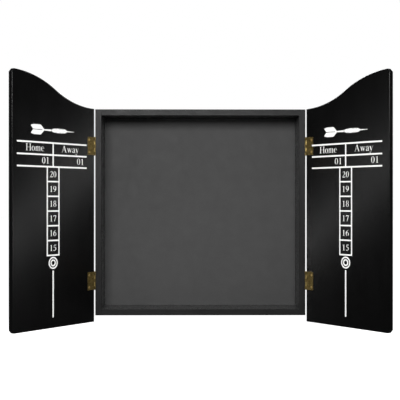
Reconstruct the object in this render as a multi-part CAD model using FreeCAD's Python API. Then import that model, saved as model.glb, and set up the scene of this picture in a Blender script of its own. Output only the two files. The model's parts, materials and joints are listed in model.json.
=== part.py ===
import FreeCAD, Part
import math
import os

from FreeCAD import Vector as V

# Double-door dartboard cabinet, hung on a wall.
# Frame: +Z up, +X to the right of someone facing the open cabinet, +Y into the wall.
# Origin: centre of the wall face of the middle rail, which is where the bull sits.
# Rest position: both doors swung open.

# ---------------------------------------------------------------- driving dimensions (mm)
CAB_W = 510.0            # outer width
CAB_H = 500.0            # outer height
CAB_D = 105.0            # outer depth, wall to front edges
BOARD = 15.0             # thickness of the four frame boards
EASE = 0.8               # eased arris on the boards

PANEL_T = 9.0            # back panel thickness
PANEL_SLACK = 0.25       # gap all round between the set-in back panel and the boards

RAIL_T = 12.0            # rails and hanging blocks behind the back panel
RAIL_H = 60.0
BLOCK_L = 80.0           # hanging blocks in the two upper corners

DOOR_T = 12.0            # door panel thickness
DOOR_GAP = 2.0           # gap between the two free edges when closed
DOOR_DROP = 14.0         # the doors hang this far below the cabinet, as finger pulls
DOOR_EASE = 1.0          # eased arris round each door
CHAMFER_S = 6.0          # clipped corners of the free edge, along the top or bottom
CHAMFER_Z = 7.0          # the same, down or up the free edge
OGEE_R_LOW = 243.0       # hollow arc of the S-curved top, next to the hinges
OGEE_R_HIGH = 253.4      # crowned arc, next to the free edge
OGEE_INFLECT = 124.4     # distance from the hinge edge where the arcs meet
OPEN_DEG = 128.7         # opening angle at rest

HINGE_H = 43.0           # butt hinge height
HINGE_LEAF = 25.5        # pin axis to the leaf's far edge
LEAF_T = 1.2
BARREL_R = 2.8
BORE_R = 1.55
PIN_R = 1.5
KNUCKLES = 5
KNUCKLE_GAP = 0.2        # axial gap between knuckles
RUN_GAP = 0.3            # clearance between a barrel and what passes it
CLOSED_GAP = 1.2         # closed door to the frame's front edges
HINGE_Z = (-165.0, 160.0)
LEAF_SCREW_U = 20.0      # pin axis to the leaf's screws
LEAF_SCREW_Z = 14.5      # screws above and below the hinge's middle
FIT = 0.15               # clearance round a let-in leaf or plate

DOWEL_R = 4.0            # corner dowels
DOWEL_L = 30.0
DOWEL_IN_SIDE = 10.0
DOWEL_Y = (-88.0, -40.0)
RAIL_DOWEL_R = 3.0
RAIL_DOWEL_L = 25.0
RAIL_DOWEL_DZ = 18.0
GLUE = 0.05              # radial glue gap round dowels and screws

HANGER_X = 203.2         # keyhole hangers, each side of the middle: 406.4 mm apart, the pitch of wall studs
HANGER_L = 50.0
HANGER_H = 22.0
HANGER_T = 1.5
KEY_R = 4.5              # entry hole
SLOT_R = 2.5             # hanging slot
KEY_DZ = -3.5
SLOT_DZ = 6.0
POCKET_W = 11.0          # slot through the hanging block, room for the wall screw's head
POCKET_DZ = (-9.0, 10.5)
HANGER_SCREW_DX = 18.0

# ---------------------------------------------------------------- derived positions
X0 = CAB_W / 2.0
Z0 = CAB_H / 2.0
YF = -CAB_D                                  # front edges
XI = X0 - BOARD                              # inner faces of the sides
ZI = Z0 - BOARD                              # inner faces of top and bottom
Y_PANEL_BACK = -RAIL_T
Y_PANEL_FRONT = -RAIL_T - PANEL_T

PIN_X = -(X0 + BARREL_R - LEAF_T)            # left pin axis
PIN_Y = YF - CLOSED_GAP - BARREL_R
HINGE_EDGE = BARREL_R + RUN_GAP              # pin axis to the door's hinge edge
DOOR_X0 = PIN_X + HINGE_EDGE
DOOR_W = -DOOR_GAP / 2.0 - DOOR_X0
DOOR_YI = PIN_Y + BARREL_R                   # inner face, closed
DOOR_YO = DOOR_YI - DOOR_T                   # outer face, closed
BLOCK_Z = ZI - RAIL_H / 2.0                  # middle height of the hanging blocks
RAIL_Z = {"middle": 0.0, "lower": -ZI + RAIL_H / 2.0}


# ---------------------------------------------------------------- helpers
def block(x0, y0, z0, x1, y1, z1):
    return Part.makeBox(x1 - x0, y1 - y0, z1 - z0, V(x0, y0, z0))


def rod(r, length, at, direction):
    return Part.makeCylinder(r, length, V(*at), V(*direction))


def mirrored(shape):
    return shape.mirror(V(0, 0, 0), V(1, 0, 0))


def fillet_where(shape, radius, test):
    edges = [e for e in shape.Edges if test(e)]
    return shape.makeFillet(radius, edges) if edges else shape


def near(a, b, tol=1e-4):
    return abs(a - b) < tol


def straight_along(e, axis):
    if len(e.Vertexes) != 2:
        return False
    d = e.Vertexes[1].Point.sub(e.Vertexes[0].Point)
    parts = [abs(d.x), abs(d.y), abs(d.z)]
    return parts[axis] > 0.999 * d.Length and d.Length > 5.0


def screw(at, direction, length, shank_r, head_r):
    """Countersunk wood screw: a cone head with a cross recess, a shank, a thread and a point."""
    head_h = head_r - shank_r
    pts = [V(0, 0, 0), V(head_r, 0, 0), V(head_r, 0, 0.25), V(shank_r, 0, 0.25 + head_h)]
    z = 0.25 + head_h + 1.2
    pts.append(V(shank_r, 0, z))
    root = shank_r * 0.72
    tip = length - 2.0 * shank_r
    pitch = 1.4
    while z + pitch < tip:
        pts += [V(root, 0, z + 0.35), V(root, 0, z + 0.75), V(shank_r, 0, z + 1.1), V(shank_r, 0, z + pitch)]
        z += pitch
    pts += [V(root, 0, z + 0.4), V(root, 0, tip), V(0, 0, length), V(0, 0, 0)]
    body = Part.Face(Part.makePolygon(pts)).revolve(V(0, 0, 0), V(0, 0, 1), 360)
    body = Part.Solid(body.Shells[0]) if body.ShapeType != "Solid" else body
    depth = min(1.1, 0.25 + head_h)
    w = head_r * 0.24
    l = head_r * 0.62
    cross = block(-l, -w / 2, -0.1, l, w / 2, depth).fuse(block(-w / 2, -l, -0.1, w / 2, l, depth))
    body = body.cut(cross)
    rotation = FreeCAD.Rotation(V(0, 0, 1), V(*direction))
    body.Placement = FreeCAD.Placement(V(*at), rotation)
    return body


def screw_hole(at, direction, length, shank_r, head_r):
    """Clearance for the screw above: countersink and pilot hole."""
    head_h = head_r - shank_r
    top = V(at[0] - direction[0] * 0.5, at[1] - direction[1] * 0.5, at[2] - direction[2] * 0.5)
    r = head_r + GLUE
    mouth = Part.makeCylinder(r, 0.5 + 0.25, top, V(*direction))
    start = V(at[0] + direction[0] * 0.25, at[1] + direction[1] * 0.25, at[2] + direction[2] * 0.25)
    cone = Part.makeCone(r, shank_r + GLUE, head_h, start, V(*direction))
    pilot = Part.makeCylinder(shank_r + GLUE, length + 0.3, V(*at), V(*direction))
    return mouth.fuse(cone).fuse(pilot)


def one(shapes):
    return shapes[0] if len(shapes) == 1 else Part.makeCompound(shapes)


def cut_all(shape, tools):
    for t in tools:
        shape = shape.cut(t)
    return shape


os.makedirs("parts", exist_ok=True)
nodes = {}


def node(name, *shapes):
    solids = []
    for s in shapes:
        solids += s.Solids
    for s in solids:
        if not s.isValid() or s.Volume <= 0:
            raise RuntimeError("bad solid in " + name)
    nodes[name] = one(solids)


# ---------------------------------------------------------------- fasteners that join the frame
corner_dowels, corner_holes = [], []
for sx in (-1, 1):
    for sz in (-1, 1):
        for y in DOWEL_Y:
            x_out = sx * (XI + DOWEL_IN_SIDE)
            z = sz * (Z0 - BOARD / 2.0)
            d = rod(DOWEL_R, DOWEL_L, (x_out, y, z), (-sx, 0, 0))
            corner_dowels.append(d.makeChamfer(0.6, [e for e in d.Edges if e.Closed and not straight_along(e, 0)
                                                     and near(e.Length, 2 * math.pi * DOWEL_R, 1e-3)]))
            corner_holes.append(rod(DOWEL_R + GLUE, DOWEL_L + 1.0, (x_out + sx * 0.5, y, z), (-sx, 0, 0)))

rail_dowels, rail_holes = [], []
for sx in (-1, 1):
    for zc in (BLOCK_Z, *RAIL_Z.values()):
        for dz in (-RAIL_DOWEL_DZ, RAIL_DOWEL_DZ):
            x_out = sx * (XI + DOWEL_IN_SIDE)
            d = rod(RAIL_DOWEL_R, RAIL_DOWEL_L, (x_out, -RAIL_T / 2.0, zc + dz), (-sx, 0, 0))
            rail_dowels.append(d.makeChamfer(0.5, [e for e in d.Edges
                                                   if near(e.Length, 2 * math.pi * RAIL_DOWEL_R, 1e-3)]))
            rail_holes.append(rod(RAIL_DOWEL_R + GLUE, RAIL_DOWEL_L + 1.0,
                                  (x_out + sx * 0.5, -RAIL_T / 2.0, zc + dz), (-sx, 0, 0)))

RAIL_SCREW_R, RAIL_SCREW_HEAD, RAIL_SCREW_L = 1.75, 3.5, 17.0
BLOCK_SCREW_X, BLOCK_SCREW_DZ = 169.0, 18.0
rail_screws, rail_screw_holes = [], []
spots = [(x, zc) for zc in RAIL_Z.values() for x in (-215.0, -75.0, 75.0, 215.0)]
spots += [(sx * BLOCK_SCREW_X, BLOCK_Z + dz) for sx in (-1, 1) for dz in (-BLOCK_SCREW_DZ, BLOCK_SCREW_DZ)]
for x, zc in spots:
    rail_screws.append(screw((x, 0, zc), (0, -1, 0), RAIL_SCREW_L, RAIL_SCREW_R, RAIL_SCREW_HEAD))
    rail_screw_holes.append(screw_hole((x, 0, zc), (0, -1, 0), RAIL_SCREW_L, RAIL_SCREW_R, RAIL_SCREW_HEAD))

# ---------------------------------------------------------------- hinges
Z_STEP = HINGE_H / KNUCKLES
LEAF_SCREW_R, LEAF_SCREW_HEAD, LEAF_SCREW_L = 1.5, 2.9, 10.0


def leaf(owned):
    """Rolled hinge leaf about the Z axis. The leaf runs along +X, tangent to the barrel's +Y side; z = 0 is its middle.
    owned lists the knuckles that belong to this leaf."""
    r, inner = BARREL_R, BARREL_R - LEAF_T
    u1 = math.sqrt(r * r - inner * inner)
    a1 = math.atan2(inner, u1)
    mid = (a1 - 1.5 * math.pi) / 2.0
    cut = HINGE_EDGE
    z_low = -HINGE_H / 2.0
    solids = []
    for k in owned:
        za = z_low + k * Z_STEP + (KNUCKLE_GAP / 2.0 if k > 0 else 0.0)
        zb = z_low + (k + 1) * Z_STEP - (KNUCKLE_GAP / 2.0 if k < KNUCKLES - 1 else 0.0)
        arc = Part.Arc(V(u1, inner, za), V(r * math.cos(mid), r * math.sin(mid), za), V(0, r, za)).toShape()
        edges = [arc,
                 Part.LineSegment(V(0, r, za), V(cut, r, za)).toShape(),
                 Part.LineSegment(V(cut, r, za), V(cut, inner, za)).toShape(),
                 Part.LineSegment(V(cut, inner, za), V(u1, inner, za)).toShape()]
        solids.append(Part.Face(Part.Wire(edges)).extrude(V(0, 0, zb - za)))
    plate = block(cut, inner, z_low, HINGE_LEAF, r, -z_low)
    plate = fillet_where(plate, 1.2, lambda e: straight_along(e, 1) is False and near(e.Length, LEAF_T, 1e-3)
                         and near(e.BoundBox.XMin, HINGE_LEAF, 1e-3))
    shape = plate
    for s in solids:
        shape = shape.fuse(s)
    shape = shape.removeSplitter()
    shape = shape.cut(rod(BORE_R, HINGE_H + 2.0, (0, 0, z_low - 1.0), (0, 0, 1)))
    return shape


def let_in(depth_from, depth_to, start):
    """Recess for a leaf in the same position as leaf(), open towards the barrel."""
    h = HINGE_H / 2.0 + FIT
    return block(start, depth_from, -h, HINGE_LEAF + FIT, depth_to, h)


# Door leaf: it lies along the door's inner face, which is its tangent side.
door_leaf = leaf((0, 2, 4))
door_leaf_holes = [screw_hole((LEAF_SCREW_U, BARREL_R, dz), (0, -1, 0), LEAF_SCREW_L, LEAF_SCREW_R, LEAF_SCREW_HEAD)
                   for dz in (-LEAF_SCREW_Z, LEAF_SCREW_Z)]
door_leaf = cut_all(door_leaf, door_leaf_holes)
door_leaf_screws = [screw((LEAF_SCREW_U, BARREL_R, dz), (0, -1, 0), LEAF_SCREW_L, LEAF_SCREW_R, LEAF_SCREW_HEAD)
                    for dz in (-LEAF_SCREW_Z, LEAF_SCREW_Z)]
door_recess = let_in(BARREL_R - LEAF_T, BARREL_R + 1.0, 0.0)

# Cabinet leaf: the same shape turned to run back along the cabinet's side, let in flush.
cab_leaf = leaf((1, 3)).mirror(V(0, 0, 0), V(1, -1, 0))
cab_in = BARREL_R - LEAF_T
cab_leaf_holes = [screw_hole((cab_in, LEAF_SCREW_U, dz), (1, 0, 0), LEAF_SCREW_L, LEAF_SCREW_R, LEAF_SCREW_HEAD)
                  for dz in (-LEAF_SCREW_Z, LEAF_SCREW_Z)]
cab_leaf = cut_all(cab_leaf, cab_leaf_holes)
cab_leaf_screws = [screw((cab_in, LEAF_SCREW_U, dz), (1, 0, 0), LEAF_SCREW_L, LEAF_SCREW_R, LEAF_SCREW_HEAD)
                   for dz in (-LEAF_SCREW_Z, LEAF_SCREW_Z)]
h = HINGE_H / 2.0 + FIT
cab_recess = block(cab_in - 1.0, 0.0, -h, BARREL_R, HINGE_LEAF + FIT, h)

# Pin: a rod with a low button at each end, just clear of the end knuckles.
pin = rod(PIN_R, HINGE_H + 0.4, (0, 0, -HINGE_H / 2.0 - 0.2), (0, 0, 1))
for s in (-1, 1):
    button = rod(2.3, 0.9, (0, 0, s * (HINGE_H / 2.0 + 0.1)), (0, 0, s))
    button = button.makeFillet(0.5, [e for e in button.Edges if near(e.BoundBox.ZMin, e.BoundBox.ZMax)
                                     and near(abs(e.BoundBox.ZMin), HINGE_H / 2.0 + 1.0)])
    pin = pin.fuse(button)
pin = pin.removeSplitter()


def at_pin(shape, z):
    s = shape.copy()
    s.translate(V(PIN_X, PIN_Y, z))
    return s


def opened(shape):
    """Swing a closed left-hand piece to the rest position."""
    s = shape.copy()
    s.rotate(V(PIN_X, PIN_Y, 0), V(0, 0, 1), -OPEN_DEG)
    return s


# ---------------------------------------------------------------- frame boards
side = block(-X0, YF, -Z0, -XI, 0, Z0)
side = fillet_where(side, EASE, lambda e: near(e.BoundBox.YMin, YF, 1e-3) and near(e.BoundBox.YMax, YF, 1e-3)
                    or (straight_along(e, 1) and near(e.BoundBox.XMin, -X0, 1e-3))
                    )
side = cut_all(side, corner_holes[:4] + rail_holes[:(len(RAIL_Z) + 1) * 2])
for z in HINGE_Z:
    side = side.cut(at_pin(cab_recess, z))
    for t in cab_leaf_holes:
        side = side.cut(at_pin(t, z))
left_side = side
right_side = mirrored(side)


def cross_board(sz):
    b = block(-XI, YF, min(sz * ZI, sz * Z0), XI, 0, max(sz * ZI, sz * Z0))
    b = fillet_where(b, EASE, lambda e: straight_along(e, 0) and near(e.BoundBox.YMax, YF, 1e-3))
    return cut_all(b, corner_holes)


node("left_side_board", left_side)
node("right_side_board", right_side)
node("top_board", cross_board(1))
node("bottom_board", cross_board(-1))

px, pz = XI - PANEL_SLACK, ZI - PANEL_SLACK
panel = block(-px, Y_PANEL_FRONT, -pz, px, Y_PANEL_BACK, pz)
node("back_panel", cut_all(panel, rail_screw_holes))

# ---------------------------------------------------------------- rails, hanging blocks and keyhole hangers
hangers, hanger_screws = {}, []
HS_R, HS_HEAD, HS_L = 1.5, 2.9, 9.0


def stadium(cx, cz, half, r, y0, y1, vertical=False):
    """Slot-shaped plug between y0 and y1 (y1 < y0), half = distance from the middle to each end's centre."""
    dx, dz = (0, half) if vertical else (half, 0)
    s = rod(r, y0 - y1, (cx - dx, y0, cz - dz), (0, -1, 0)).fuse(rod(r, y0 - y1, (cx + dx, y0, cz + dz), (0, -1, 0)))
    if vertical:
        s = s.fuse(block(cx - r, y1, cz - dz, cx + r, y0, cz + dz))
    else:
        s = s.fuse(block(cx - dx, y1, cz - r, cx + dx, y0, cz + r))
    return s.removeSplitter()


rail_tools = list(rail_screw_holes) + list(rail_holes)
zr = BLOCK_Z
for side_name, sx in (("left", -1), ("right", 1)):
    cx = sx * HANGER_X
    recess = stadium(cx, zr, (HANGER_L - HANGER_H) / 2.0, HANGER_H / 2.0 + FIT, 1.0, -HANGER_T)
    pocket = block(cx - POCKET_W / 2.0, -RAIL_T - 1.0, zr + POCKET_DZ[0], cx + POCKET_W / 2.0, 1.0, zr + POCKET_DZ[1])
    rail_tools += [recess, pocket]
    plate = stadium(cx, zr, (HANGER_L - HANGER_H) / 2.0, HANGER_H / 2.0, 0.0, -HANGER_T)
    plate = plate.cut(rod(KEY_R, 5.0, (cx, 1.0, zr + KEY_DZ), (0, -1, 0)))
    plate = plate.cut(stadium(cx, zr + (KEY_DZ + SLOT_DZ) / 2.0, (SLOT_DZ - KEY_DZ) / 2.0, SLOT_R, 1.0, -3.0, True))
    for dx in (-HANGER_SCREW_DX, HANGER_SCREW_DX):
        hole = screw_hole((cx + dx, 0, zr), (0, -1, 0), HS_L, HS_R, HS_HEAD)
        plate = plate.cut(hole)
        rail_tools.append(hole)
        hanger_screws.append(screw((cx + dx, 0, zr), (0, -1, 0), HS_L, HS_R, HS_HEAD))
    node(side_name + "_keyhole_hanger", plate)



def backing(x0, x1, zc):
    """Board behind the back panel, flush with the cabinet's rear edges."""
    r = block(x0, -RAIL_T, zc - RAIL_H / 2.0, x1, 0, zc + RAIL_H / 2.0)
    return cut_all(r, [t for t in rail_tools if t.BoundBox.intersect(r.BoundBox)])


for name, zc in RAIL_Z.items():
    node(name + "_rail", backing(-XI, XI, zc))
node("left_hanging_block", backing(-XI, -XI + BLOCK_L, BLOCK_Z))
node("right_hanging_block", backing(XI - BLOCK_L, XI, BLOCK_Z))

node("corner_dowels", *corner_dowels)
node("rail_dowels", *rail_dowels)
node("rail_screws", *rail_screws)
node("keyhole_hanger_screws", *hanger_screws)

# ---------------------------------------------------------------- doors
z_bot = -Z0 - DOOR_DROP
z_hinge = Z0
a = math.asin(OGEE_INFLECT / OGEE_R_LOW)
rise1 = OGEE_R_LOW * (1 - math.cos(a))
c2s = OGEE_INFLECT + OGEE_R_HIGH * math.sin(a)          # crown centre, along the door
c2z = rise1 - OGEE_R_HIGH * math.cos(a)                  # crown centre, above the cabinet top
s_end = DOOR_W - CHAMFER_S


def low_arc(s):
    return OGEE_R_LOW - math.sqrt(OGEE_R_LOW ** 2 - s ** 2)


def high_arc(s):
    return c2z + math.sqrt(OGEE_R_HIGH ** 2 - (s - c2s) ** 2)


def dp(s, z):
    return V(DOOR_X0 + s, DOOR_YI, z)


crown_end = z_hinge + high_arc(s_end)
outline = [
    Part.LineSegment(dp(0, z_bot), dp(0, z_hinge)).toShape(),
    Part.Arc(dp(0, z_hinge), dp(OGEE_INFLECT / 2, z_hinge + low_arc(OGEE_INFLECT / 2)),
             dp(OGEE_INFLECT, z_hinge + rise1)).toShape(),
    Part.Arc(dp(OGEE_INFLECT, z_hinge + rise1),
             dp((OGEE_INFLECT + s_end) / 2, z_hinge + high_arc((OGEE_INFLECT + s_end) / 2)),
             dp(s_end, crown_end)).toShape(),
    Part.LineSegment(dp(s_end, crown_end), dp(DOOR_W, crown_end - CHAMFER_Z)).toShape(),
    Part.LineSegment(dp(DOOR_W, crown_end - CHAMFER_Z), dp(DOOR_W, z_bot + CHAMFER_Z)).toShape(),
    Part.LineSegment(dp(DOOR_W, z_bot + CHAMFER_Z), dp(s_end, z_bot)).toShape(),
    Part.LineSegment(dp(s_end, z_bot), dp(0, z_bot)).toShape(),
]
door = Part.Face(Part.Wire(outline)).extrude(V(0, -DOOR_T, 0))
door = fillet_where(door, DOOR_EASE,
                    lambda e: near(e.BoundBox.YMin, DOOR_YI, 1e-3) and near(e.BoundBox.YMax, DOOR_YI, 1e-3)
                    or near(e.BoundBox.YMin, DOOR_YO, 1e-3) and near(e.BoundBox.YMax, DOOR_YO, 1e-3))
for z in HINGE_Z:
    door = door.cut(at_pin(door_recess, z))
    for t in door_leaf_holes:
        door = door.cut(at_pin(t, z))

left_door = opened(door)
node("left_door_panel", left_door)
node("right_door_panel", mirrored(left_door))

door_screws = {"left": [], "right": []}
cab_screws = []
for label, z in (("lower", HINGE_Z[0]), ("upper", HINGE_Z[1])):
    dl = opened(at_pin(door_leaf, z))
    cl = at_pin(cab_leaf, z)
    pn = at_pin(pin, z)
    node("left_%s_hinge_door_leaf" % label, dl)
    node("right_%s_hinge_door_leaf" % label, mirrored(dl))
    node("left_%s_hinge_cabinet_leaf" % label, cl)
    node("right_%s_hinge_cabinet_leaf" % label, mirrored(cl))
    node("left_%s_hinge_pin" % label, pn)
    node("right_%s_hinge_pin" % label, mirrored(pn))
    for s in door_leaf_screws:
        o = opened(at_pin(s, z))
        door_screws["left"].append(o)
        door_screws["right"].append(mirrored(o))
    for s in cab_leaf_screws:
        o = at_pin(s, z)
        cab_screws += [o, mirrored(o)]
node("left_door_leaf_screws", *door_screws["left"])
node("right_door_leaf_screws", *door_screws["right"])
node("cabinet_leaf_screws", *cab_screws)

for name, shape in nodes.items():
    shape.exportStep("parts/%s.step" % name)
    print("%-34s solids %2d  volume %10.1f" % (name, len(shape.Solids), shape.Volume))
print("nodes", len(nodes), "door width", round(DOOR_W, 3), "pin", round(PIN_X, 3), round(PIN_Y, 3),
      "crown", round(z_hinge + c2z + OGEE_R_HIGH, 3))
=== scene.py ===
import sys

import json
import math

import bpy
import numpy as np
from mathutils import Euler, Matrix, Vector, geometry
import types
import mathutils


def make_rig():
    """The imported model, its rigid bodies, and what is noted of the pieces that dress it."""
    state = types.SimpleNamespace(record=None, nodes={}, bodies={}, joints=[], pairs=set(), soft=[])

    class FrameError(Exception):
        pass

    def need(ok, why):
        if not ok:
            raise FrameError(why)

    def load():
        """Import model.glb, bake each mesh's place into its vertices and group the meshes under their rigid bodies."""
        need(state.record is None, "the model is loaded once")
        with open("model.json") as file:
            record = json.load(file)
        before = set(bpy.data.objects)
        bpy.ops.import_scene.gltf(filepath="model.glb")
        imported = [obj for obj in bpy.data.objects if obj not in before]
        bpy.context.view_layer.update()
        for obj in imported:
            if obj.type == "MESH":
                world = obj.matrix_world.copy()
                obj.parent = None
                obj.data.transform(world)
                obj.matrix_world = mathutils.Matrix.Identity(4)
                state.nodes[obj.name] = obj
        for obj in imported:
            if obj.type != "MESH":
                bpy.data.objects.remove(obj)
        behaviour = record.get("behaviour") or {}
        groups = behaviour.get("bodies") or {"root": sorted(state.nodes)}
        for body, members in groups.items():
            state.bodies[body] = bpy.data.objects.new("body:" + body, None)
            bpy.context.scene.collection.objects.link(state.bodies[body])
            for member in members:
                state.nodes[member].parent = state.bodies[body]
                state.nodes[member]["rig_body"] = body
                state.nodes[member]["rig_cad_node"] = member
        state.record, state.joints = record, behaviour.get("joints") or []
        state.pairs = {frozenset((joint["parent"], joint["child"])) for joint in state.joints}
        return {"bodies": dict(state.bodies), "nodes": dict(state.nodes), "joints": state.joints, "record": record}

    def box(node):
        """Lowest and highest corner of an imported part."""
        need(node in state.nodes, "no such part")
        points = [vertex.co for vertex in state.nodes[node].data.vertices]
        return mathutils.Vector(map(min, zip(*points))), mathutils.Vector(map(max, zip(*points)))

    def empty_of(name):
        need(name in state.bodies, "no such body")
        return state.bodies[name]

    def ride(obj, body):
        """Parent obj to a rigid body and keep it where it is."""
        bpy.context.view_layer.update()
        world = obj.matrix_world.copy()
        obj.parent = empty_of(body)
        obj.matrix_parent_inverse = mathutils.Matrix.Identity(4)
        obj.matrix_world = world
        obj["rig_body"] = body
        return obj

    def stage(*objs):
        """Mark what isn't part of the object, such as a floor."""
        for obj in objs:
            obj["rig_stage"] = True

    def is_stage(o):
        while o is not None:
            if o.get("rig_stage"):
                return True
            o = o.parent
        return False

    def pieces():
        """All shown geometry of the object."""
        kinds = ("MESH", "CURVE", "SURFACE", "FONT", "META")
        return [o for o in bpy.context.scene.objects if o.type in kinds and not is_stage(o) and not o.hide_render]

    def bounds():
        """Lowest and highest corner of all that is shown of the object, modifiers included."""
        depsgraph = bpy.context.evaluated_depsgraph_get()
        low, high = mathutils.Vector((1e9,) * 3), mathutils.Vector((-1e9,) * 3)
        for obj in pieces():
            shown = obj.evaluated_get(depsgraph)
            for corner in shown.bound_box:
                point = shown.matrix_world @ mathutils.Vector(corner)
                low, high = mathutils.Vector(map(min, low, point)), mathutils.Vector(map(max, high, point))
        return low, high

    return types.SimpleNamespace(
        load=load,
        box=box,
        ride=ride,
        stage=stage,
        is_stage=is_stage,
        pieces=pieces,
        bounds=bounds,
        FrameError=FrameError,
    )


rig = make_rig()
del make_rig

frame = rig.load()
cad_lo, cad_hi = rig.bounds()
nodes = frame["nodes"]
joints = {j["name"]: j for j in frame["joints"]}
scene = bpy.context.scene
scene.view_settings.view_transform = "Standard"
scene.view_settings.look = "None"
scene.view_settings.exposure = 0.0
scene.view_settings.gamma = 1.0

MM = 0.001
OPEN = math.radians(128.7)                       # opening angle of both doors at rest
PIN = Vector(joints["left_door_hinge"]["pos_m"])  # left pin axis
EDGE = 3.1 * MM                                  # pin axis to the door's hinge edge
FACE = 2.8 * MM                                  # pin axis to the door's inner face
DOOR_T = 12.0 * MM
DOOR_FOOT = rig.box("left_door_panel")[0].z       # lower edge of the doors
FRONT_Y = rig.box("left_side_board")[0].y         # front edges of the box
INNER_X = -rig.box("left_side_board")[1].x        # half the inside width
INNER_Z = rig.box("top_board")[0].z               # half the inside height


# ================================================================ camera
def camera():
    data = bpy.data.cameras.new("camera")
    data.sensor_width = 36.0
    data.lens = 79.245
    data.clip_start, data.clip_end = 0.02, 200.0
    cam = bpy.data.objects.new("camera", data)
    scene.collection.objects.link(cam)
    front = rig.box("left_side_board")[0].y
    cam.location = (-0.0178, front - 2.137, 0.0305)
    cam.rotation_euler = Euler((math.radians(90.0 - 0.014), 0.0, math.radians(-0.451)), "XYZ")
    scene.camera = cam
    return cam


camera()


# ================================================================ shader helpers
class Mat:
    """A node material under construction: small wrappers that add a node and return its output."""

    def __init__(self, name):
        self.mat = bpy.data.materials.new(name)
        self.mat.use_nodes = True
        self.nt = self.mat.node_tree
        self.nt.nodes.clear()
        self.out = self.nt.nodes.new("ShaderNodeOutputMaterial")
        self.bsdf = self.nt.nodes.new("ShaderNodeBsdfPrincipled")
        self.nt.links.new(self.bsdf.outputs[0], self.out.inputs[0])
        self.normal = None

    def node(self, kind, **props):
        n = self.nt.nodes.new(kind)
        for k, v in props.items():
            setattr(n, k, v)
        return n

    def put(self, socket, value):
        if isinstance(value, bpy.types.NodeSocket):
            self.nt.links.new(value, socket)
        else:
            socket.default_value = value
        return socket

    def place(self, scale=(1, 1, 1), turn=(0, 0, 0), shift=(0, 0, 0)):
        """Object coordinates in metres, turned and then scaled."""
        tc = self.node("ShaderNodeTexCoord")
        first = self.node("ShaderNodeMapping", vector_type="POINT")
        self.put(first.inputs["Vector"], tc.outputs["Object"])
        first.inputs["Location"].default_value = shift
        first.inputs["Rotation"].default_value = turn
        second = self.node("ShaderNodeMapping", vector_type="POINT")
        self.put(second.inputs["Vector"], first.outputs[0])
        second.inputs["Scale"].default_value = scale
        return second.outputs[0]

    def scaled(self, vector, scale, shift=(0, 0, 0)):
        m = self.node("ShaderNodeMapping", vector_type="POINT")
        self.put(m.inputs["Vector"], vector)
        m.inputs["Scale"].default_value = scale
        m.inputs["Location"].default_value = shift
        return m.outputs[0]

    def noise(self, vector, scale=1.0, detail=3.0, rough=0.5, distort=0.0, lac=2.0):
        n = self.node("ShaderNodeTexNoise", noise_dimensions="3D")
        self.put(n.inputs["Vector"], vector)
        n.inputs["Scale"].default_value = scale
        n.inputs["Detail"].default_value = detail
        n.inputs["Roughness"].default_value = rough
        n.inputs["Lacunarity"].default_value = lac
        n.inputs["Distortion"].default_value = distort
        return n.outputs["Fac"]

    def cells(self, vector, scale=1.0, feature="F1", random=1.0):
        n = self.node("ShaderNodeTexVoronoi", voronoi_dimensions="3D", feature=feature)
        self.put(n.inputs["Vector"], vector)
        n.inputs["Scale"].default_value = scale
        n.inputs["Randomness"].default_value = random
        return n.outputs["Distance"]

    def cell_colour(self, vector, scale=1.0):
        n = self.node("ShaderNodeTexVoronoi", voronoi_dimensions="3D", feature="F1")
        self.put(n.inputs["Vector"], vector)
        n.inputs["Scale"].default_value = scale
        s = self.node("ShaderNodeSeparateColor")
        self.put(s.inputs[0], n.outputs["Color"])
        return s.outputs[0]

    def spread(self, value, a, b, c=0.0, d=1.0, smooth=False):
        """value from a..b carried to c..d, clamped."""
        n = self.node("ShaderNodeMapRange", clamp=True)
        if smooth:
            n.interpolation_type = "SMOOTHSTEP"
        self.put(n.inputs["Value"], value)
        for key, v in (("From Min", a), ("From Max", b), ("To Min", c), ("To Max", d)):
            self.put(n.inputs[key], v)
        return n.outputs["Result"]

    def maths(self, op, a, b=0.0, c=None, clamp=False):
        n = self.node("ShaderNodeMath", operation=op, use_clamp=clamp)
        self.put(n.inputs[0], a)
        self.put(n.inputs[1], b)
        if c is not None:
            self.put(n.inputs[2], c)
        return n.outputs[0]

    def mix(self, fac, a, b, blend="MIX"):
        n = self.node("ShaderNodeMix", data_type="RGBA", blend_type=blend)
        self.put(n.inputs["Factor"], fac)
        sockets = [s for s in n.inputs if s.type == "RGBA"]
        self.put(sockets[0], a)
        self.put(sockets[1], b)
        return [s for s in n.outputs if s.type == "RGBA"][0]

    def ramp(self, fac, stops, interpolation="LINEAR"):
        n = self.node("ShaderNodeValToRGB")
        cr = n.color_ramp
        cr.interpolation = interpolation
        while len(cr.elements) < len(stops):
            cr.elements.new(0.5)
        for e, (p, col) in zip(cr.elements, stops):
            e.position = p
            e.color = col if len(col) == 4 else (*col, 1.0)
        self.put(n.inputs[0], fac)
        return n.outputs["Color"]

    def bump(self, height, distance, strength=1.0):
        """distance is the height in metres of a value of 1. Calls stack."""
        n = self.node("ShaderNodeBump")
        n.inputs["Strength"].default_value = strength
        n.inputs["Distance"].default_value = distance
        self.put(n.inputs["Height"], height)
        if self.normal is not None:
            self.put(n.inputs["Normal"], self.normal)
        self.normal = n.outputs[0]
        return self.normal

    def edge(self, radius, lo=0.02, hi=0.3, samples=6):
        """About 1 along arrises of that radius, 0 on flats."""
        b = self.node("ShaderNodeBevel", samples=samples)
        b.inputs["Radius"].default_value = radius
        g = self.node("ShaderNodeNewGeometry")
        dot = self.node("ShaderNodeVectorMath", operation="DOT_PRODUCT")
        self.put(dot.inputs[0], b.outputs[0])
        self.put(dot.inputs[1], g.outputs["True Normal"])
        off = self.maths("SUBTRACT", 1.0, dot.outputs["Value"])
        return self.spread(off, lo, hi)

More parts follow.
